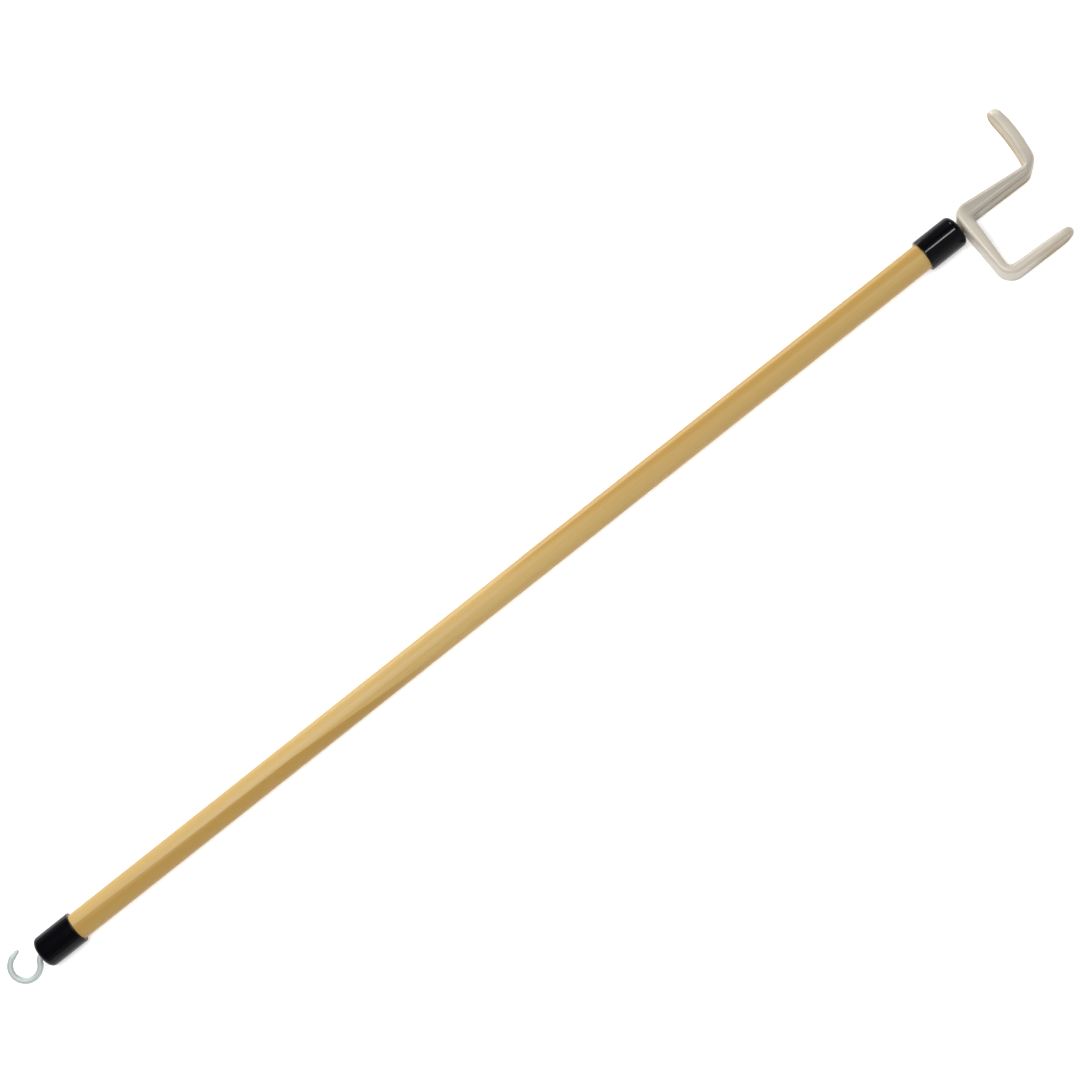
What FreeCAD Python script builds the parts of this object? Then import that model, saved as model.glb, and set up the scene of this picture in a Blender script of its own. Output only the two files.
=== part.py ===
import FreeCAD, Part

# Dressing stick: a round wooden dowel with a vinyl cap on each end, a coated
# push/pull hook on one end and a C-shaped zipper hook on the other.
#
# Millimetres. The stick lies on the ground along +X, from the zipper hook to
# the push/pull hook. +Y is the side of the push/pull hook's curved arm and +Z
# is up. Each piece is made about the dowel's own axis, with x = 0 at the
# dowel's zipper-hook end, and the whole stick is then moved so that the
# origin is at the bottom centre of its box.

import math
import os

from FreeCAD import Placement, Rotation, Vector

# ---------------------------------------------------------------- driving dimensions

DOWEL_DIAMETER = 15.875
DOWEL_LENGTH = 635.0
DOWEL_CHAMFER = 0.8

CAP_LENGTH = 24.4
CAP_WALL = 1.5875
CAP_END_WALL = 3.0
CAP_END_RADIUS = 3.2
CAP_LIP_RADIUS = 0.5
CAP_BORE_RADIUS = 0.8

# Push/pull hook. u runs outward along the stick from the cap's end face, v
# towards the curved arm and w across the strip.
HOOK_WIDTH = 15.7
HOOK_EDGE_RADIUS = 2.1
HOOK_TIP_RADIUS = 7.6
HOOK_REST_ROLL = 2.34
NECK_DIAMETER = 6.6

# Corners of the coated hook's side outline as (u, v, corner radius), from the
# curved arm's tip to the straight arm's tip, first along the side that faces
# the stick and then back along the other side.
COATED_NEAR_SIDE = [
    (53.7, 42.5, 0.0),
    (49.9, 3.3, 1.1),
    (2.15, 9.0, 6.6),
    (0.2, -42.8, 9.4),
    (46.2, -43.25, 0.0),
]
COATED_FAR_SIDE = [
    (60.0, 41.2, 0.0),
    (56.7, 3.4, 3.1),
    (49.1, -2.2, 6.5),
    (9.4, -1.4, 0.4),
    (5.8, -36.4, 2.2),
    (46.9, -38.55, 0.0),
]
CURVED_ARM_BOW = 1.7

# The steel strip inside: the corners of its centre line, and their radii.
STRIP_THICKNESS = 2.5
STRIP_WIDTH = 12.7
STRIP_TIP_RADIUS = 6.2
STRIP_LINE = [
    (56.7, 39.6, 0.0),
    (52.5, 0.3, 7.2),
    (5.8, 3.8, 3.5),
    (3.0, -39.6, 5.0),
    (44.4, -40.85, 0.0),
]

STUD_DIAMETER = 4.8
STUD_CORE_DIAMETER = 3.5
STUD_PITCH = 2.2
STUD_THREAD_LENGTH = 24.0
STUD_SHANK_IN_WOOD = 2.0
STUD_TOP = 5.4

ZIPPER_WIRE_DIAMETER = 3.5
ZIPPER_CORE_DIAMETER = 2.5
ZIPPER_PITCH = 1.6
ZIPPER_THREAD_LENGTH = 20.0
ZIPPER_SHANK_IN_WOOD = 2.0
ZIPPER_RING_RADIUS = 8.33
ZIPPER_RING_OFFSET = 0.9
ZIPPER_BEND_RADIUS = 4.0
ZIPPER_RING_END = 75.0
ZIPPER_TAIL_LENGTH = 3.4
ZIPPER_TIP_RADIUS = 1.15
ZIPPER_ROLL = 19.2

# Both wood threads: their ridge's base and crest as parts of the pitch, how far
# the ridge is rooted in the core, and the point.
THREAD_BASE_PART = 0.6
THREAD_CREST_PART = 0.12
THREAD_ROOT_DEPTH = 0.15
POINT_LENGTH = 4.0
POINT_RADIUS = 0.4
PILOT_CLEARANCE = 2.0

# ---------------------------------------------------------------- derived

CAP_RADIUS = DOWEL_DIAMETER / 2 + CAP_WALL
PUSH_END = DOWEL_LENGTH + CAP_END_WALL
ZIPPER_END = -CAP_END_WALL

X_AXIS = Vector(1, 0, 0)
Y_AXIS = Vector(0, 1, 0)
Z_AXIS = Vector(0, 0, 1)
TOLERANCE = 0.01


def cylinder(radius, start, end):
    """Round bar about the stick's axis from x = start to x = end."""
    return Part.makeCylinder(radius, end - start, Vector(start, 0, 0), X_AXIS)


def cone(start_radius, end_radius, start, end):
    """Round taper about the stick's axis from x = start to x = end."""
    return Part.makeCone(start_radius, end_radius, end - start, Vector(start, 0, 0), X_AXIS)


def circle_edges(shape, x, radius):
    """Edges of the given radius about the stick's axis in the plane at x."""
    found = []
    for edge in shape.Edges:
        curve = edge.Curve
        if not isinstance(curve, Part.Circle):
            continue
        if abs(curve.Center.x - x) < TOLERANCE and abs(curve.Radius - radius) < TOLERANCE:
            found.append(edge)
    return found


def mirrored_end(shape):
    """Turn a piece made at the zipper-hook end round to the push/pull hook's end."""
    middle = Vector(DOWEL_LENGTH / 2, 0, 0)
    turned = shape.copy()
    turned.rotate(middle, Z_AXIS, 180)
    return turned


# ---------------------------------------------------------------- dowel and caps


def make_pilot(core_diameter, shank_diameter, shank_depth, thread_length):
    """Stepped pilot hole that opens at x = 0."""
    depth = shank_depth + thread_length + PILOT_CLEARANCE
    hole = cylinder(core_diameter / 2, -1.0, depth)
    mouth = cylinder(shank_diameter / 2, -1.0, shank_depth)
    return hole.fuse(mouth)


def make_dowel():
    """Round stick with chamfered ends and a pilot hole for each threaded shank."""
    radius = DOWEL_DIAMETER / 2
    stick = cylinder(radius, 0.0, DOWEL_LENGTH)
    ends = circle_edges(stick, 0.0, radius) + circle_edges(stick, DOWEL_LENGTH, radius)
    stick = stick.makeChamfer(DOWEL_CHAMFER, ends)
    zipper_pilot = make_pilot(
        ZIPPER_CORE_DIAMETER, ZIPPER_WIRE_DIAMETER, ZIPPER_SHANK_IN_WOOD, ZIPPER_THREAD_LENGTH
    )
    stud_pilot = make_pilot(
        STUD_CORE_DIAMETER, STUD_DIAMETER, STUD_SHANK_IN_WOOD, STUD_THREAD_LENGTH
    )
    return stick.cut(zipper_pilot).cut(mirrored_end(stud_pilot))


def make_cap(hole_diameter):
    """Slip-on cap over the dowel's end at x = 0, with a hole through its end wall."""
    bore_radius = DOWEL_DIAMETER / 2
    open_end = CAP_LENGTH - CAP_END_WALL
    body = cylinder(CAP_RADIUS, ZIPPER_END, open_end)
    body = body.makeFillet(CAP_END_RADIUS, circle_edges(body, ZIPPER_END, CAP_RADIUS))
    body = body.makeFillet(CAP_LIP_RADIUS, circle_edges(body, open_end, CAP_RADIUS))
    bore = cylinder(bore_radius, 0.0, open_end)
    bore = bore.makeFillet(CAP_BORE_RADIUS, circle_edges(bore, 0.0, bore_radius))
    hole = cylinder(hole_diameter / 2, ZIPPER_END, 0.0)
    return body.cut(bore).cut(hole)


# ---------------------------------------------------------------- threaded shanks


def make_thread(core_radius, crest_radius, pitch, start, length):
    """Right-hand helical ridge about the stick's axis, rooted in a core."""
    root_radius = core_radius - THREAD_ROOT_DEPTH
    half_base = pitch * THREAD_BASE_PART / 2
    half_crest = pitch * THREAD_CREST_PART / 2
    corners = [
        Vector(root_radius, 0, -half_base),
        Vector(crest_radius, 0, -half_crest),
        Vector(crest_radius, 0, half_crest),
        Vector(root_radius, 0, half_base),
    ]
    profile = Part.makePolygon(corners + corners[:1])
    helix = Part.Wire(Part.makeHelix(pitch, length - 2 * half_base, core_radius))
    ridge = helix.makePipeShell([profile], True, True)
    ridge.rotate(Vector(0, 0, 0), Y_AXIS, 90)
    ridge.translate(Vector(start + half_base, 0, 0))
    return ridge


def make_threaded_shank(radius, core_radius, pitch, outer_end, shank_depth, thread_length):
    """Round shank that goes into the wood at x = 0, with a wood thread and a point."""
    point_start = shank_depth + thread_length - POINT_LENGTH
    shank = cylinder(radius, outer_end, shank_depth)
    core = cylinder(core_radius, shank_depth, point_start)
    point = cone(core_radius, POINT_RADIUS, point_start, shank_depth + thread_length)
    ridge = make_thread(core_radius, radius, pitch, shank_depth, thread_length - POINT_LENGTH)
    return core.fuse([shank, point, ridge])


# ---------------------------------------------------------------- bent flat bars


def bowed_edge(start, end, bow):
    """Arc from start to end that bows outward along u by bow at its middle."""
    middle = (start + end) * 0.5 + X_AXIS * bow
    return Part.Arc(start, middle, end).toShape()


def depth_edge(shape, u, v):
    """The edge across the bar that stands at the outline's corner (u, v)."""
    for edge in shape.Edges:
        points = [vertex.Point for vertex in edge.Vertexes]
        if len(points) == 2 and all(math.hypot(p.x - u, p.y - v) < TOLERANCE for p in points):
            return edge
    raise ValueError("no edge across the bar at %.2f, %.2f" % (u, v))


def tip_edges(shape, first, second):
    """The two edges across the thickness of the bar's square end between two corners."""
    ends = (Vector(first[0], first[1], 0), Vector(second[0], second[1], 0))
    found = []
    for edge in shape.Edges:
        points = [vertex.Point for vertex in edge.Vertexes]
        if len(points) != 2 or abs(points[0].z - points[1].z) > TOLERANCE:
            continue
        flat = [Vector(p.x, p.y, 0) for p in points]
        near = [min((p - end).Length for p in flat) for end in ends]
        if max(near) < TOLERANCE:
            found.append(edge)
    return found


def make_bent_bar(near_side, far_side, width, tip_radius):
    """Flat bar with the given side outline, round-ended across its width.

    Its curved arm bows outward, and the bar is centred on w = 0.
    """
    half = width / 2
    near = [Vector(u, v, -half) for u, v, radius in near_side]
    far = [Vector(u, v, -half) for u, v, radius in far_side]
    edges = [bowed_edge(near[0], near[1], CURVED_ARM_BOW)]
    edges += [Part.LineSegment(a, b).toShape() for a, b in zip(near[1:-1], near[2:])]
    edges.append(Part.LineSegment(near[-1], far[-1]).toShape())
    back = far[::-1]
    edges += [Part.LineSegment(a, b).toShape() for a, b in zip(back[:-2], back[1:-1])]
    edges.append(bowed_edge(back[-2], back[-1], CURVED_ARM_BOW))
    edges.append(Part.LineSegment(far[0], near[0]).toShape())
    outline = Part.Wire(Part.__sortEdges__(edges))
    bar = Part.Face(outline).extrude(Vector(0, 0, width))
    for u, v, radius in near_side[1:-1] + far_side[1:-1]:
        bar = bar.makeFillet(radius, [depth_edge(bar, u, v)])
    for near_corner, far_corner in ((near_side[0], far_side[0]), (near_side[-1], far_side[-1])):
        bar = bar.makeFillet(tip_radius, tip_edges(bar, near_corner, far_corner))
    return bar


def offset_corner(before, corner, after, distance):
    """Corner of a line's parallel at the given distance to its left."""
    first = (corner - before).normalize()
    second = (after - corner).normalize()
    left = Z_AXIS.cross(first)
    bisector = (left + Z_AXIS.cross(second)).normalize()
    return corner + bisector * (distance / bisector.dot(left))


def offset_side(line, distance):
    """One side of a strip: the centre line's corners moved to its left by distance."""
    points = [Vector(u, v, 0) for u, v, radius in line]
    side = []
    for index, (u, v, radius) in enumerate(line):
        before = points[max(index - 1, 0)]
        after = points[min(index + 1, len(points) - 1)]
        if index == 0:
            before = points[0] - (after - points[0])
        if index == len(points) - 1:
            after = points[-1] + (points[-1] - before)
        moved = offset_corner(before, points[index], after, distance)
        turn = (points[index] - before).cross(after - points[index]).z
        change = -distance if turn > 0 else distance
        side.append((moved.x, moved.y, radius + change if radius else 0.0))
    return side


# ---------------------------------------------------------------- push/pull hook


def is_smooth(shape, edge):
    """Whether the two faces that meet at the edge are tangent there."""
    point = edge.valueAt(sum(edge.ParameterRange) / 2)
    normals = []
    for face in shape.Faces:
        if any(other.isSame(edge) for other in face.Edges):
            normals.append(face.normalAt(*face.Surface.parameter(point)))
    return abs(normals[0].dot(normals[-1])) > 1 - TOLERANCE


def runs_across(edge):
    """Whether the edge runs straight across the bar's width."""
    return all(abs(edge.tangentAt(p).z) > 1 - TOLERANCE for p in edge.ParameterRange)


def place_hook(shape):
    """Put a piece made in the hook's u, v, w frame on the stick, rolled to its rest."""
    placed = shape.copy()
    placed.Placement = Placement(Vector(PUSH_END, 0, 0), Rotation(X_AXIS, HOOK_REST_ROLL))
    return placed


def make_strip():
    """Flat steel strip bent to the hook's shape."""
    near_side = offset_side(STRIP_LINE, -STRIP_THICKNESS / 2)
    far_side = offset_side(STRIP_LINE, STRIP_THICKNESS / 2)
    return place_hook(make_bent_bar(near_side, far_side, STRIP_WIDTH, STRIP_TIP_RADIUS))


def make_stud(strip):
    """Wood-thread stud on the stick's axis, its head end shaped to the strip's back."""
    head_end = ZIPPER_END - STUD_TOP
    stud = make_threaded_shank(
        STUD_DIAMETER / 2, STUD_CORE_DIAMETER / 2, STUD_PITCH,
        head_end, STUD_SHANK_IN_WOOD, STUD_THREAD_LENGTH
    )
    return mirrored_end(stud).cut(strip)


def make_coating(strip, stud):
    """Dip-moulded skin over the strip, with a neck round the stud down to the cap."""
    body = make_bent_bar(COATED_NEAR_SIDE, COATED_FAR_SIDE, HOOK_WIDTH, HOOK_TIP_RADIUS)
    rim = [edge for edge in body.Edges if not runs_across(edge) and not is_smooth(body, edge)]
    body = place_hook(body.makeFillet(HOOK_EDGE_RADIUS, rim))
    neck = cylinder(NECK_DIAMETER / 2, PUSH_END, PUSH_END + STUD_TOP)
    return body.fuse(neck).removeSplitter().cut(strip).cut(stud)


# ---------------------------------------------------------------- zipper hook


def ring_point(out, up):
    """Point of the zipper hook's plane: out from the cap's end face, up across it."""
    return Vector(ZIPPER_END - out, up, 0)


def polar(centre, radius, angle):
    """Point (out, up) at the radius and angle, in degrees, about a centre (out, up)."""
    turn = math.radians(angle)
    return centre[0] + radius * math.cos(turn), centre[1] + radius * math.sin(turn)


def arc_about(centre, radius, start, end):
    """Arc of the zipper hook's plane from one angle to another, in degrees."""
    angles = (start, (start + end) / 2, end)
    return Part.Arc(*[ring_point(*polar(centre, radius, a)) for a in angles]).toShape()


def make_zipper_hook():
    """Wire that leaves the cap on the stick's axis, swings aside and curls into a C."""
    wire_radius = ZIPPER_WIRE_DIAMETER / 2
    bend_centre = (0.0, -ZIPPER_BEND_RADIUS)
    rise = ZIPPER_RING_OFFSET + ZIPPER_BEND_RADIUS
    reach = ZIPPER_RING_RADIUS + ZIPPER_BEND_RADIUS
    ring_centre = (math.sqrt(reach ** 2 - rise ** 2), ZIPPER_RING_OFFSET)
    meet = math.degrees(math.asin(rise / reach))
    bend = arc_about(bend_centre, ZIPPER_BEND_RADIUS, 90.0, meet)
    ring = arc_about(ring_centre, ZIPPER_RING_RADIUS, 180.0 + meet, 360.0 + ZIPPER_RING_END)
    section = Part.Wire(Part.makeCircle(wire_radius, ring_point(0, 0), X_AXIS))
    curl = Part.Wire([bend, ring]).makePipeShell([section], True, False)

    tail_start = ring_point(*polar(ring_centre, ZIPPER_RING_RADIUS, ZIPPER_RING_END))
    ahead = polar((0.0, 0.0), 1.0, ZIPPER_RING_END + 90.0)
    heading = Vector(-ahead[0], ahead[1], 0)
    tail_end = tail_start + heading * ZIPPER_TAIL_LENGTH
    tail = Part.makeCone(
        wire_radius, ZIPPER_TIP_RADIUS, ZIPPER_TAIL_LENGTH, tail_start, heading
    )
    tip = Part.makeSphere(ZIPPER_TIP_RADIUS, tail_end)
    shank = make_threaded_shank(
        wire_radius, ZIPPER_CORE_DIAMETER / 2, ZIPPER_PITCH,
        ZIPPER_END, ZIPPER_SHANK_IN_WOOD, ZIPPER_THREAD_LENGTH
    )
    hook = shank.fuse([curl, tail, tip]).removeSplitter()
    hook.rotate(Vector(0, 0, 0), X_AXIS, ZIPPER_ROLL)
    return hook


# ---------------------------------------------------------------- the whole stick


def make_pieces():
    """Every piece in the dowel's own frame, by node name."""
    strip = make_strip()
    stud = make_stud(strip)
    return {
        "dowel": make_dowel(),
        "push_hook_cap": mirrored_end(make_cap(STUD_DIAMETER)),
        "zipper_hook_cap": make_cap(ZIPPER_WIRE_DIAMETER),
        "hook_strip": strip,
        "hook_stud": stud,
        "hook_coating": make_coating(strip, stud),
        "zipper_hook": make_zipper_hook(),
    }


def bottom_centre(shapes):
    """Bottom centre of the box round all the shapes."""
    box = FreeCAD.BoundBox()
    for shape in shapes:
        box.add(shape.optimalBoundingBox(False, False))
    return Vector(box.Center.x, box.Center.y, box.ZMin)


def main():
    os.makedirs("parts", exist_ok=True)
    pieces = make_pieces()
    origin = bottom_centre(pieces.values())
    for name, shape in pieces.items():
        shape.translate(origin * -1)
        shape.exportStep("parts/%s.step" % name)
        print("%-16s volume %9.1f mm3, %d solid" % (name, shape.Volume, len(shape.Solids)))


main()
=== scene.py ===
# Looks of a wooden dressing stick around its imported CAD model. Metres, in the CAD's own frame:
# the stick lies along X, the push/pull hook at the +X end and the curved arm on the +Y side.

import math

import bmesh
import bpy
from mathutils import Matrix, Vector


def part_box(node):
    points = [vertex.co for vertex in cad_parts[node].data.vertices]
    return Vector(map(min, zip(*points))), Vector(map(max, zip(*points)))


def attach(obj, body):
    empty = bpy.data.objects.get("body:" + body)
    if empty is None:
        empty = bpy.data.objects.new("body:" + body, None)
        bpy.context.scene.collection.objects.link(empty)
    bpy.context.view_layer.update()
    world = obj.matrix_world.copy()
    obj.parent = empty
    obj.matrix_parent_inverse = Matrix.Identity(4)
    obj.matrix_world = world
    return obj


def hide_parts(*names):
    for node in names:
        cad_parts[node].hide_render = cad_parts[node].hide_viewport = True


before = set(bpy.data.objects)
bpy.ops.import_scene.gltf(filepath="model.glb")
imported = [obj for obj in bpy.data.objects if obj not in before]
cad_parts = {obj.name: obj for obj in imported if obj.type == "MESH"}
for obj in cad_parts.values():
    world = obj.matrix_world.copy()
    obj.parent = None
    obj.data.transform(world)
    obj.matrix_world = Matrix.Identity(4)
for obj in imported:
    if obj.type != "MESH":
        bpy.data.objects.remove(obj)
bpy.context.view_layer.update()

# ---------------------------------------------------------------- places, from the frame

MM = 0.001
DOWEL_LOW, DOWEL_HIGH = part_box("dowel")
DOWEL_CENTRE = (DOWEL_LOW + DOWEL_HIGH) / 2
CAP_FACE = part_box("push_hook_cap")[1].x
HOOK_LOW, HOOK_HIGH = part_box("hook_coating")

# The camera looks down on the stick, leaning back from straight above it, and is turned so
# that the stick climbs from the lower left to the upper right.
VIEW_LEAN = math.radians(19.14)
VIEW_TURN = math.radians(38.4)
VIEW_DISTANCE = 1.255
VIEW_LENS_MM = 76.2
AIM_BEHIND_CAP = 285.7 * MM
AIM_ACROSS = 8.55 * MM

ALONG = Vector((1, 0, 0))
ACROSS = Vector((0, math.cos(VIEW_LEAN), math.sin(VIEW_LEAN)))
TOWARDS_CAMERA = Vector((0, -math.sin(VIEW_LEAN), math.cos(VIEW_LEAN)))
AIM = Vector((CAP_FACE - AIM_BEHIND_CAP, DOWEL_CENTRE.y, DOWEL_CENTRE.z)) + ACROSS * AIM_ACROSS


def link(thing):
    bpy.context.scene.collection.objects.link(thing)
    return thing


# ---------------------------------------------------------------- node graphs


class Graph:
    """One material's node tree, with a short call for each kind of node it uses."""

    def __init__(self, name):
        self.material = bpy.data.materials.new(name)
        self.material.use_nodes = True
        self.tree = self.material.node_tree
        self.shader = self.tree.nodes["Principled BSDF"]
        self.point = self.add("ShaderNodeTexCoord").outputs["Object"]

    def add(self, kind, **settings):
        node = self.tree.nodes.new(kind)
        for name, value in settings.items():
            setattr(node, name, value)
        return node

    def feed(self, socket, value):
        """Link an input to another node's output, or set it to a plain value."""
        if isinstance(value, bpy.types.NodeSocket):
            self.tree.links.new(value, socket)
        else:
            socket.default_value = value

    def pattern(self, kind, frequency):
        """A texture node that repeats about so many times a metre along each axis."""
        scaled = self.add("ShaderNodeVectorMath", operation="MULTIPLY")
        self.feed(scaled.inputs[0], self.point)
        scaled.inputs[1].default_value = frequency
        node = self.add(kind)
        self.feed(node.inputs["Vector"], scaled.outputs["Vector"])
        node.inputs["Scale"].default_value = 1.0
        return node

    def noise(self, frequency, detail=2.0, roughness=0.5):
        node = self.pattern("ShaderNodeTexNoise", frequency)
        node.inputs["Detail"].default_value = detail
        node.inputs["Roughness"].default_value = roughness
        return node.outputs["Fac"]

    def cells(self, frequency):
        """Distance to the nearest of randomly scattered points."""
        return self.pattern("ShaderNodeTexVoronoi", frequency).outputs["Distance"]

    def painted(self, name):
        """An amount kept on the mesh's points, or 0 where the mesh has none of that name."""
        return self.add("ShaderNodeAttribute", attribute_name=name).outputs["Fac"]

    def maths(self, operation, first, second):
        node = self.add("ShaderNodeMath", operation=operation)
        self.feed(node.inputs[0], first)
        self.feed(node.inputs[1], second)
        return node.outputs["Value"]

    def spread(self, value, source, result, smooth=False):
        """Map a span of values to a span of results, held at both ends."""
        node = self.add("ShaderNodeMapRange")
        node.interpolation_type = "SMOOTHSTEP" if smooth else "LINEAR"
        self.feed(node.inputs["Value"], value)
        for name, number in zip(("From Min", "From Max", "To Min", "To Max"), (*source, *result)):
            node.inputs[name].default_value = number
        return node.outputs["Result"]

    def blend(self, amount, first, second, mode="MIX"):
        """Mix two colours."""
        node = self.add("ShaderNodeMix", data_type="RGBA", blend_type=mode)
        self.feed(node.inputs["Factor"], amount)
        for name, value in (("A", first), ("B", second)):
            socket = [s for s in node.inputs if s.name == name and s.type == "RGBA"][0]
            self.feed(socket, value if isinstance(value, bpy.types.NodeSocket) else (*value, 1.0))
        return [s for s in node.outputs if s.type == "RGBA"][0]

    def axis_values(self):
        """The object's point as its three numbers."""
        node = self.add("ShaderNodeSeparateXYZ")
        self.feed(node.inputs["Vector"], self.point)
        return node.outputs

    def bump(self, height, depth):
        """Bump of the given depth in metres between heights of 0 and 1."""
        node = self.add("ShaderNodeBump")
        node.inputs["Strength"].default_value = 1.0
        node.inputs["Distance"].default_value = depth
        self.feed(node.inputs["Height"], height)
        return node.outputs["Normal"]

    def finish(self, **sockets):
        """Set the shader's sockets by name, with _ for each space."""
        for name, value in sockets.items():
            self.feed(self.shader.inputs[name.replace("_", " ")], value)
        return self.material


# ---------------------------------------------------------------- the coated hook's skin

# Dipping rounds every edge of the hook and leaves its broad faces a little hollow. The skin is the
# CAD coating remeshed, relaxed and hollowed. All that can be seen of it is within 0.8 mm of the
# coating. Only the end of the stud's hollow, which the strip closes, is further from it.
HOOK_ROLL = math.radians(2.34)
HOOK_WIDTH_AXIS = Vector((0, -math.sin(HOOK_ROLL), math.cos(HOOK_ROLL)))
TIP_RADIUS = 7.6 * MM
SKIN_VOXEL = 0.4 * MM
SMOOTHING = 0.5
SKIN_RELAXING = 50
HOLLOW_RELAXING = 8
HOLLOW_DEPTH = 0.7 * MM

# Each pair is where a change starts and where it is whole. Most are distances, and each _TURN is
# how far the surface's normal points a given way.
NECK_FREE = (0.5 * MM, 2.6 * MM)
NECK_HOLLOWED = (2.6 * MM, 5.2 * MM)
HOLLOW_EDGE = (4.8 * MM, 5.6 * MM)
HOLLOW_TURN = (0.15, 0.4)
WALL_TURN = (0.35, 0.75)
ARM_SIDE = (-6 * MM, 0)
BEND_REACH = (11 * MM, 6 * MM)
BEND_SIDE = (12 * MM, 18 * MM)

# The walls are tinted yellower and darker, mostly those that face -X and -Y, and hardly at all by
# the
# neck: yellowed vinyl, with painted shade on the walls facing -X and -Y.
YELLOWED_AND_SHADED_SIDE = Vector((-1, -1, 0))
YELLOWED_AND_SHADED_TURN = (-0.3, 0.5)
YELLOWED_AND_SHADED_LEAST = 0.3
PALER_NECK = 0.9
PALER_REACH = (12 * MM, 30 * MM)

# Painted shade darkens the groove inside the upper rim, thickest on the curved arm's inner wall.
CREASE_RISE = (0.2 * MM, 3.4 * MM)
CREASE_FALL = (5.4 * MM, 7.2 * MM)
CREASE_UPPER = (-MM, MM)
ARM_CREASE = 0.9
ARM_CREASE_TURN = (0.3, 0.7)
ARM_CREASE_THINS = 0.5
ARM_CREASE_REACH = (15 * MM, 50 * MM)
FAINT_CREASE = 0.1
FAINT_CREASE_SIDE = (-34 * MM, -24 * MM)

# The leg of the curved arm is darkened grey with painted shade along its upper rim, and less on its
# inner wall.
LEG_SHADE_START = (4 * MM, 10 * MM)
LEG_SHADE_END = (50 * MM, 58 * MM)
LEG_SHADE_TURN = (0.6, 0.95)
LEG_SHADE_STRENGTH = 0.9
LEG_SHADE_INNER = 0.7


def held(value, start, end):
    """0 below start and 1 above end, with a smooth rise between."""
    part = min(max((value - start) / (end - start), 0.0), 1.0)
    return part * part * (3 - 2 * part)


class Spot:
    """Where a point of the skin lies on the hook, and which way the surface faces there."""

    def __init__(self, place, normal, straight_tip):
        self.normal = normal.copy()
        self.side = place.y
        self.past_cap = place.x - CAP_FACE
        self.past_neck = place.x - HOOK_LOW.x
        self.across = (place - DOWEL_CENTRE).dot(HOOK_WIDTH_AXIS)
        self.facing_up = normal.dot(HOOK_WIDTH_AXIS)

        # 0 on the upper rim, and 1 on the walls and below.
        self.wall = 1 - held(self.facing_up, *WALL_TURN)

        # A face's middle line stops a radius short of each tip, and the rim turns round its end.
        past_curved = max(0.0, place.y - (HOOK_HIGH.y - TIP_RADIUS))
        past_straight = 0.0
        if place.y < HOOK_LOW.y / 2:
            past_straight = max(0.0, place.x - (straight_tip - TIP_RADIUS))
        self.from_middle = math.hypot(self.across, past_curved, past_straight)

        at_bend = held(place.x, *(HOOK_HIGH.x - reach for reach in BEND_REACH))
        self.on_bend = at_bend * (held(place.y, *ARM_SIDE) - held(place.y, *BEND_SIDE))


def hollow(spot):
    """How much a broad face is sunk: inside its rim, past the neck and clear of the arm's bend."""
    inside = 1 - held(spot.from_middle, *HOLLOW_EDGE)
    broad = 1 - held(abs(spot.facing_up), *HOLLOW_TURN)
    return inside * broad * held(spot.past_cap, *NECK_HOLLOWED) * (1 - spot.on_bend)


def yellowing_and_shade(spot):
    """How yellowed the vinyl is, with painted shade on the walls that face -X and -Y."""
    paler = PALER_NECK * (1 - held(spot.past_neck, *PALER_REACH))
    turned = held(spot.normal.dot(YELLOWED_AND_SHADED_SIDE), *YELLOWED_AND_SHADED_TURN)
    return spot.wall * (1 - paler) * (YELLOWED_AND_SHADED_LEAST + (1 - YELLOWED_AND_SHADED_LEAST) * turned)


def crease_shade(spot):
    """How much painted shade falls in the groove inside the rim."""
    rim = held(spot.from_middle, *CREASE_RISE) - held(spot.from_middle, *CREASE_FALL)
    upper = held(spot.across, *CREASE_UPPER)
    faint = FAINT_CREASE * held(spot.side, *FAINT_CREASE_SIDE)
    on_arm = ARM_CREASE * held(-spot.normal.y, *ARM_CREASE_TURN) * held(spot.side, *ARM_SIDE)
    on_arm *= 1 - ARM_CREASE_THINS * held(spot.past_neck, *ARM_CREASE_REACH)
    return rim * upper * spot.wall * (1 - spot.on_bend) * max(faint, on_arm)


def leg_shade(spot):
    """How much painted shade the curved arm's leg gets."""
    on_leg = held(spot.past_neck, *LEG_SHADE_START) - held(spot.past_neck, *LEG_SHADE_END)
    on_leg *= held(spot.side, *ARM_SIDE)
    inner = LEG_SHADE_INNER * held(-spot.normal.y, *LEG_SHADE_TURN)
    return LEG_SHADE_STRENGTH * on_leg * max(held(spot.normal.z, *LEG_SHADE_TURN), inner)


def paint_tints_shade_and_hollow(mesh):
    """Paint the yellowing and the painted shade on the skin's points by name, then sink its broad
    faces.
    """
    straight_tip = max(v.co.x for v in mesh.vertices if v.co.y < HOOK_LOW.y / 2)
    spots = [Spot(vertex.co, vertex.normal, straight_tip) for vertex in mesh.vertices]
    moves = [spot.normal * (-HOLLOW_DEPTH * hollow(spot)) for spot in spots]
    # The yellowing carries painted shade on the walls; the other two amounts are painted shade only.
    for name, amount in (("face", yellowing_and_shade), ("crease_shade", crease_shade), ("leg_shade", leg_shade)):
        painted = mesh.attributes.new(name, "FLOAT", "POINT")
        painted.data.foreach_set("value", [amount(spot) for spot in spots])
    for vertex, move in zip(mesh.vertices, moves):
        vertex.co += move


def joined_mesh(name, *sources):
    """One mesh of several nodes' meshes."""
    work = bmesh.new()
    for source in sources:
        work.from_mesh(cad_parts[source].data)
    mesh = bpy.data.meshes.new(name)
    work.to_mesh(mesh)
    work.free()
    return mesh


def apply_modifiers(piece):
    evaluated = piece.evaluated_get(bpy.context.evaluated_depsgraph_get())
    mesh = bpy.data.meshes.new_from_object(evaluated)
    piece.modifiers.clear()
    piece.data = mesh


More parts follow.
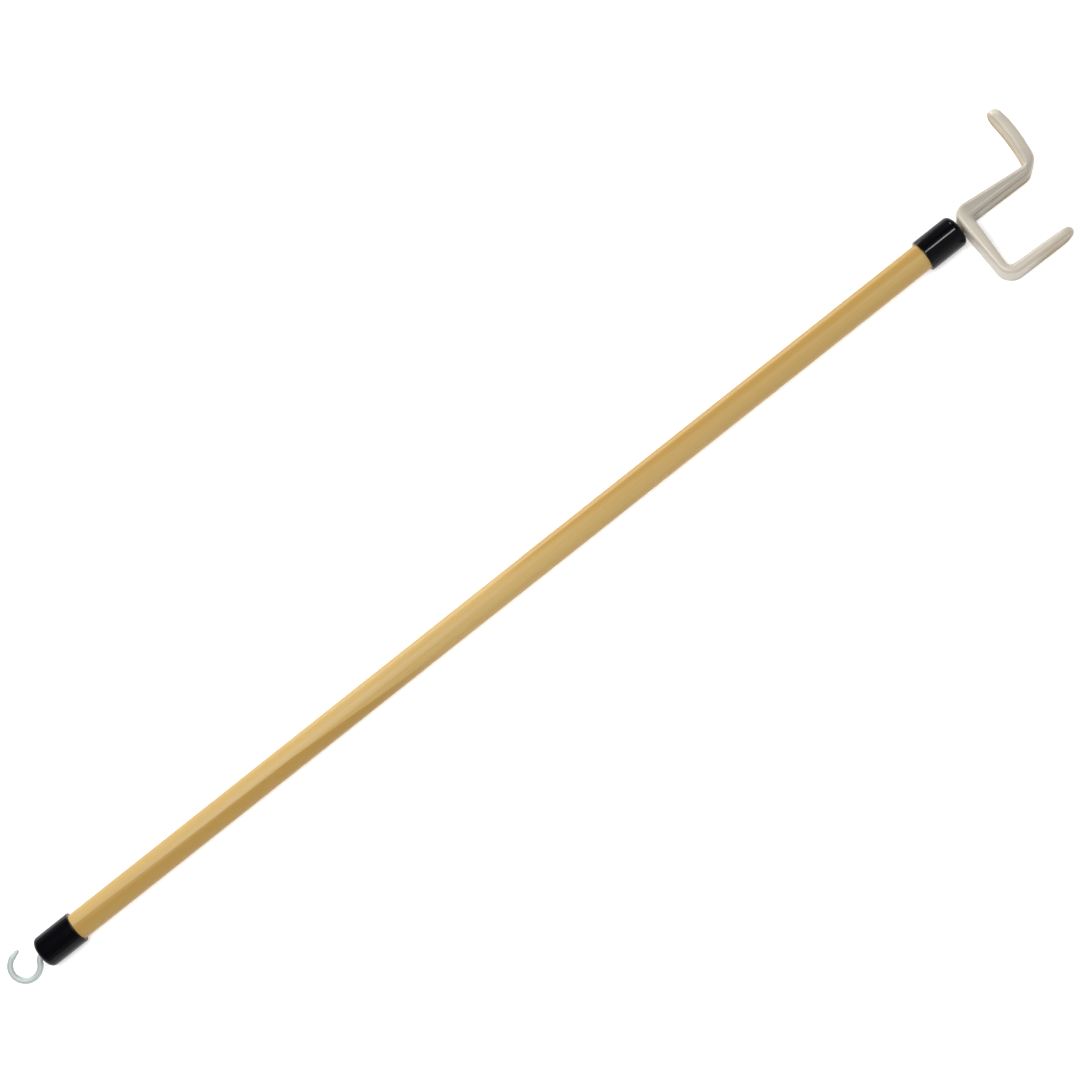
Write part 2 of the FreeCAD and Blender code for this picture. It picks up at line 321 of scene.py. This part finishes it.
def relax(piece, rounds):
    """Smooth the mesh, but hold it where it meets the stick's cap."""
    free = piece.vertex_groups.new(name="free")
    for vertex in piece.data.vertices:
        free.add([vertex.index], held(vertex.co.x - CAP_FACE, *NECK_FREE), "REPLACE")
    smooth = piece.modifiers.new("relax", "SMOOTH")
    smooth.factor = SMOOTHING
    smooth.iterations = rounds
    smooth.vertex_group = free.name
    apply_modifiers(piece)
    piece.vertex_groups.clear()


def make_hook_skin():
    """The strip fills its place in the coating, so the remesh wraps the two in one closed skin."""
    mesh = joined_mesh("hook_skin", "hook_coating", "hook_strip")
    skin = link(bpy.data.objects.new("hook_skin", mesh))
    remesh = skin.modifiers.new("remesh", "REMESH")
    remesh.mode = "VOXEL"
    remesh.voxel_size = SKIN_VOXEL
    remesh.use_smooth_shade = True
    apply_modifiers(skin)
    relax(skin, SKIN_RELAXING)
    paint_tints_shade_and_hollow(skin.data)
    relax(skin, HOLLOW_RELAXING)
    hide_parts("hook_coating")
    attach(skin, "root")
    return skin


# ---------------------------------------------------------------- wood

WOOD_LIGHT = (0.445, 0.315, 0.128)
WOOD_MID = (0.40, 0.268, 0.095)
# Darker wood for the grain, and the colour of the two painted shade streaks.
WOOD_DARK_GRAIN_AND_SHADE = (0.325, 0.195, 0.050)
WOOD_FLECK = (0.33, 0.18, 0.055)

# How often each pattern repeats in a metre, along the stick and across it.
FIBRES = (9.0, 1500.0, 1500.0)
BANDS = (3.0, 160.0, 160.0)
DRIFT = (5.0, 40.0, 40.0)
FLECKS = (260.0, 1500.0, 1500.0)
FLECK_ZONES = (40.0, 300.0, 300.0)
FIBRE_DEPTH = 0.008 * MM

# The two darker streaks are painted shade, where the lacquer's reflection of the studio ends, and
# run through the wood at this slant back from upright. A place across the stick is measured square
# to them, from the stick's axis.
SHADE_LEAN = math.radians(19.14)
SHADE_AXIS = Vector((0, math.cos(SHADE_LEAN), math.sin(SHADE_LEAN)))

# Painted shade, where the lacquer's reflection ends, lies on the -Y side of the low end. Its border
# starts just past the axis, and drifts back to -Y along the stick, faster past its bend. Lengths
# along it are from a point 22 mm in from the stick's low end.
LOW_SHADE_ORIGIN = DOWEL_LOW.x + 22 * MM
LOW_SHADE_BORDER = 1.9 * MM
LOW_SHADE_DRIFT = 0.016
LOW_SHADE_BEND = 150 * MM
LOW_SHADE_TURN = 0.040
LOW_SHADE_EDGE = (-0.3 * MM, 0.3 * MM)
LOW_SHADE_DEPTH = (0, 9 * MM)
LOW_SHADE_DEEPEST = 0.55
LOW_SHADE_FADES = (195 * MM, 265 * MM)

# The second streak of painted shade is on the +Y side of the far half. Lengths along it are from
# mid-stick.
STREAK_NARROW = (30 * MM, 140 * MM)
STREAK_BORDER = (3.8 * MM, 2.3 * MM)
STREAK_EDGE = (-1.9 * MM, 1.7 * MM)
STREAK_STRENGTH = 0.95
STREAK_OUTER = (4.8 * MM, 7 * MM)
STREAK_OUTERMOST = 0.6
STREAK_BEGINS = (-15 * MM, 40 * MM)


def across_stick(graph):
    """A point's distance from the stick's axis, square to the slant of the painted shade streaks."""
    _, y, z = graph.axis_values()
    y_part = graph.maths("MULTIPLY", y, SHADE_AXIS.y)
    z_part = graph.maths("MULTIPLY", z, SHADE_AXIS.z)
    axis_place = DOWEL_CENTRE.y * SHADE_AXIS.y + DOWEL_CENTRE.z * SHADE_AXIS.z
    return graph.maths("SUBTRACT", graph.maths("ADD", y_part, z_part), axis_place)


def low_shade(graph):
    """How much painted shade the low end's streak puts at a point."""
    along = graph.maths("SUBTRACT", graph.axis_values()[0], LOW_SHADE_ORIGIN)
    past_bend = graph.maths("MAXIMUM", graph.maths("SUBTRACT", along, LOW_SHADE_BEND), 0.0)
    drifted = graph.maths("MULTIPLY", along, LOW_SHADE_DRIFT)
    turned = graph.maths("MULTIPLY", past_bend, LOW_SHADE_TURN)
    below_border = graph.maths("SUBTRACT", LOW_SHADE_BORDER, across_stick(graph))
    depth = graph.maths("SUBTRACT", below_border, graph.maths("ADD", drifted, turned))
    edge = graph.spread(depth, LOW_SHADE_EDGE, (0.0, 1.0), smooth=True)
    paler = graph.spread(depth, LOW_SHADE_DEPTH, (1.0, LOW_SHADE_DEEPEST), smooth=True)
    fades = graph.spread(along, LOW_SHADE_FADES, (1.0, 0.0), smooth=True)
    return graph.maths("MULTIPLY", graph.maths("MULTIPLY", edge, paler), fades)


def far_shade(graph):
    """How much painted shade the second darker streak puts at a point."""
    across = across_stick(graph)
    along = graph.maths("SUBTRACT", graph.axis_values()[0], DOWEL_CENTRE.x)
    past_border = graph.maths("SUBTRACT", across, graph.spread(along, STREAK_NARROW, STREAK_BORDER))
    edge = graph.spread(past_border, STREAK_EDGE, (0.0, STREAK_STRENGTH), smooth=True)
    paler = graph.spread(across, STREAK_OUTER, (1.0, STREAK_OUTERMOST), smooth=True)
    begins = graph.spread(along, STREAK_BEGINS, (0.0, 1.0), smooth=True)
    return graph.maths("MULTIPLY", graph.maths("MULTIPLY", edge, paler), begins)


def wood():
    """Pale hardwood with straight grain under a clear satin lacquer, with two streaks of painted
    shade.
    """
    graph = Graph("lacquered_wood")
    fibres = graph.noise(FIBRES, detail=4.0, roughness=0.55)
    bands = graph.noise(BANDS)
    drift = graph.noise(DRIFT, detail=1.0)
    flecks = graph.spread(graph.cells(FLECKS), (0.08, 0.25), (1.0, 0.0), smooth=True)
    fleck_zones = graph.spread(graph.noise(FLECK_ZONES), (0.5, 0.7), (0.0, 0.22), smooth=True)
    tints = (
        (graph.spread(bands, (0.25, 0.75), (0.0, 1.0), smooth=True), WOOD_MID),
        (graph.spread(fibres, (0.2, 0.8), (0.0, 0.25), smooth=True), WOOD_DARK_GRAIN_AND_SHADE),
        (graph.spread(drift, (0.3, 0.8), (0.0, 0.35), smooth=True), WOOD_DARK_GRAIN_AND_SHADE),
        # Painted shade: the two darker streaks mark where the lacquer's reflection ends.
        (low_shade(graph), WOOD_DARK_GRAIN_AND_SHADE),
        (far_shade(graph), WOOD_DARK_GRAIN_AND_SHADE),
        (graph.maths("MULTIPLY", flecks, fleck_zones), WOOD_FLECK),
    )
    colour = WOOD_LIGHT
    for amount, tint in tints:
        colour = graph.blend(amount, colour, tint)
    return graph.finish(
        Base_Color=colour,
        Roughness=graph.spread(fibres, (0.1, 0.9), (0.36, 0.46)),
        Specular_IOR_Level=0.06,
        Coat_Weight=0.15,
        Coat_Roughness=0.2,
        Normal=graph.bump(fibres, FIBRE_DEPTH),
    )


# ---------------------------------------------------------------- vinyl and metal

# Painted shade: the colour that the groove inside the hook's upper rim is darkened towards.
CREASE_SHADE_COLOUR = (0.11, 0.086, 0.055)
# Multiplied into the vinyl: yellowing with painted shade on the walls, and painted shade on the
# arm's leg.
YELLOWING_AND_SHADE_TINTS = {"face": (0.70, 0.60, 0.43), "leg_shade": (0.68, 0.68, 0.69)}

VINYL_PEEL = (500.0, 500.0, 500.0)
VINYL_CLOUD = (60.0, 60.0, 60.0)
PEEL_DEPTH = 0.004 * MM
PLATE_CLOUD = (220.0, 220.0, 220.0)
PLATE_GRAIN = (1800.0, 1800.0, 1800.0)
ROLLED_GRAIN = (300.0, 2500.0, 2500.0)
METAL_DEPTH = 0.01 * MM


def vinyl(name, colour, stain, roughness, shine):
    """Dip-moulded vinyl: a soft orange peel, cloudy colour and gloss, and any painted yellowing and
    painted shade.
    """
    graph = Graph(name)
    peel = graph.noise(VINYL_PEEL, detail=1.0)
    cloud = graph.noise(VINYL_CLOUD)
    tone = graph.blend(cloud, colour, stain)
    for painted_name, tint in YELLOWING_AND_SHADE_TINTS.items():
        tone = graph.blend(graph.painted(painted_name), tone, tint, mode="MULTIPLY")
    return graph.finish(
        # The groove's painted amount darkens the colour as painted shade.
        Base_Color=graph.blend(graph.painted("crease_shade"), tone, CREASE_SHADE_COLOUR),
        Roughness=graph.spread(cloud, (0.0, 1.0), (0.85 * roughness, 1.15 * roughness)),
        Specular_IOR_Level=shine,
        Normal=graph.bump(peel, PEEL_DEPTH),
    )


def black_vinyl():
    return vinyl(
        "black_vinyl",
        colour=(0.0012, 0.0012, 0.0022),
        stain=(0.0018, 0.0018, 0.0026),
        roughness=0.085,
        shine=0.13,
    )


def cream_vinyl():
    return vinyl(
        "cream_vinyl",
        colour=(0.435, 0.395, 0.328),
        stain=(0.405, 0.365, 0.298),
        roughness=0.32,
        shine=0.6,
    )


def plated_wire():
    """Bright zinc plate over drawn wire."""
    graph = Graph("plated_wire")
    cloud = graph.noise(PLATE_CLOUD, detail=3.0)
    return graph.finish(
        Base_Color=graph.blend(cloud, (0.42, 0.475, 0.465), (0.36, 0.40, 0.38)),
        Metallic=0.35,
        Roughness=graph.spread(cloud, (0.1, 0.9), (0.50, 0.62)),
        Normal=graph.bump(graph.noise(PLATE_GRAIN), METAL_DEPTH),
    )


def bare_steel():
    """Mild steel with its mill finish."""
    graph = Graph("bare_steel")
    grain = graph.noise(ROLLED_GRAIN, detail=3.0)
    return graph.finish(
        Base_Color=graph.blend(grain, (0.34, 0.34, 0.35), (0.48, 0.48, 0.48)),
        Metallic=1.0,
        Roughness=graph.spread(grain, (0.3, 0.7), (0.35, 0.5)),
        Normal=graph.bump(grain, METAL_DEPTH),
    )


LOOKS = {
    "dowel": wood(),
    "push_hook_cap": black_vinyl(),
    "zipper_hook_cap": black_vinyl(),
    "hook_coating": cream_vinyl(),
    "hook_strip": bare_steel(),
    "hook_stud": bare_steel(),
    "zipper_hook": plated_wire(),
}


def dress(piece, material):
    piece.data.materials.clear()
    piece.data.materials.append(material)


for node_name, look in LOOKS.items():
    dress(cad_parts[node_name], look)
dress(make_hook_skin(), LOOKS["hook_coating"])

# ---------------------------------------------------------------- stage

FLOOR_HALF = 20.0
FLOOR_GRAIN = (90.0, 90.0, 90.0)
FLOOR_GLOW = 0.4

# The sky's strength, and how high a direction points where one gives way to the other.
SKY_HORIZON = 0.54
SKY_OVERHEAD = 0.11
SKY_CHANGE = (0.2, 0.6)


def studio_point(along, across, height):
    """A place in metres about the camera's aim, in the camera's own directions."""
    return AIM + ALONG * along + ACROSS * across + TOWARDS_CAMERA * height


# Each light's place, its size along the stick and across it, and its power in watts.
LIGHTS = {
    "overhead": (studio_point(0.45, -0.6, 1.6), (2.4, 4.0), 12.0),
    "key": (studio_point(-0.33, 0.45, 1.2), (0.55, 1.2), 19.0),
    "back_panel": (Vector((0.80, 1.05, 1.0)), (0.26, 0.5), 6.0),
    "cap_strip": (studio_point(0.53, 0.22, 1.0), (0.12, 0.15), 1.6),
    "edge_strip": (Vector((0.11, 1.5, 0.20)), (0.93, 0.25), 15.0),
}


def make_floor():
    """White paper with a little light of its own."""
    corners = [(x * FLOOR_HALF, y * FLOOR_HALF, 0) for x, y in ((-1, -1), (1, -1), (1, 1), (-1, 1))]
    mesh = bpy.data.meshes.new("floor")
    mesh.from_pydata(corners, [], [(0, 1, 2, 3)])
    graph = Graph("floor_paper")
    grain = graph.noise(FLOOR_GRAIN, detail=3.0)
    paper = graph.finish(
        Base_Color=graph.blend(grain, (0.86, 0.86, 0.86), (0.88, 0.88, 0.88)),
        Roughness=0.9,
        Emission_Color=(1, 1, 1, 1),
        Emission_Strength=FLOOR_GLOW,
    )
    mesh.materials.append(paper)
    floor = link(bpy.data.objects.new("floor", mesh))


def make_light(name, place, size, power):
    """Rectangular light that faces the camera's aim, its first side along the stick."""
    data = bpy.data.lights.new(name, "AREA")
    data.shape = "RECTANGLE"
    data.size, data.size_y = size
    data.energy = power
    light = link(bpy.data.objects.new(name, data))
    back = (place - AIM).normalized()
    side = (ALONG - back * ALONG.dot(back)).normalized()
    turned = Matrix((side, back.cross(side), back)).transposed().to_4x4()
    light.matrix_world = Matrix.Translation(place) @ turned


def make_camera():
    data = bpy.data.cameras.new("camera")
    data.lens = VIEW_LENS_MM
    camera = link(bpy.data.objects.new("camera", data))
    right = ALONG * math.cos(VIEW_TURN) - ACROSS * math.sin(VIEW_TURN)
    up = ALONG * math.sin(VIEW_TURN) + ACROSS * math.cos(VIEW_TURN)
    turned = Matrix((right, up, TOWARDS_CAMERA)).transposed().to_4x4()
    camera.matrix_world = Matrix.Translation(AIM + TOWARDS_CAMERA * VIEW_DISTANCE) @ turned
    bpy.context.scene.camera = camera


def make_world():
    """White sky, stronger round the horizon than overhead."""
    world = bpy.data.worlds.new("studio")
    world.use_nodes = True
    tree = world.node_tree
    background = tree.nodes["Background"]
    background.inputs["Color"].default_value = (1.0, 1.0, 1.0, 1.0)
    direction = tree.nodes.new("ShaderNodeTexCoord")
    parts = tree.nodes.new("ShaderNodeSeparateXYZ")
    strength = tree.nodes.new("ShaderNodeMapRange")
    strength.interpolation_type = "SMOOTHSTEP"
    strength.inputs["From Min"].default_value, strength.inputs["From Max"].default_value = SKY_CHANGE
    strength.inputs["To Min"].default_value = SKY_HORIZON
    strength.inputs["To Max"].default_value = SKY_OVERHEAD
    tree.links.new(direction.outputs["Generated"], parts.inputs["Vector"])
    tree.links.new(parts.outputs["Z"], strength.inputs["Value"])
    tree.links.new(strength.outputs["Result"], background.inputs["Strength"])
    bpy.context.scene.world = world


make_floor()
make_camera()
make_world()
for light_name, settings in LIGHTS.items():
    make_light(light_name, *settings)
bpy.context.scene.view_settings.view_transform = "Standard"
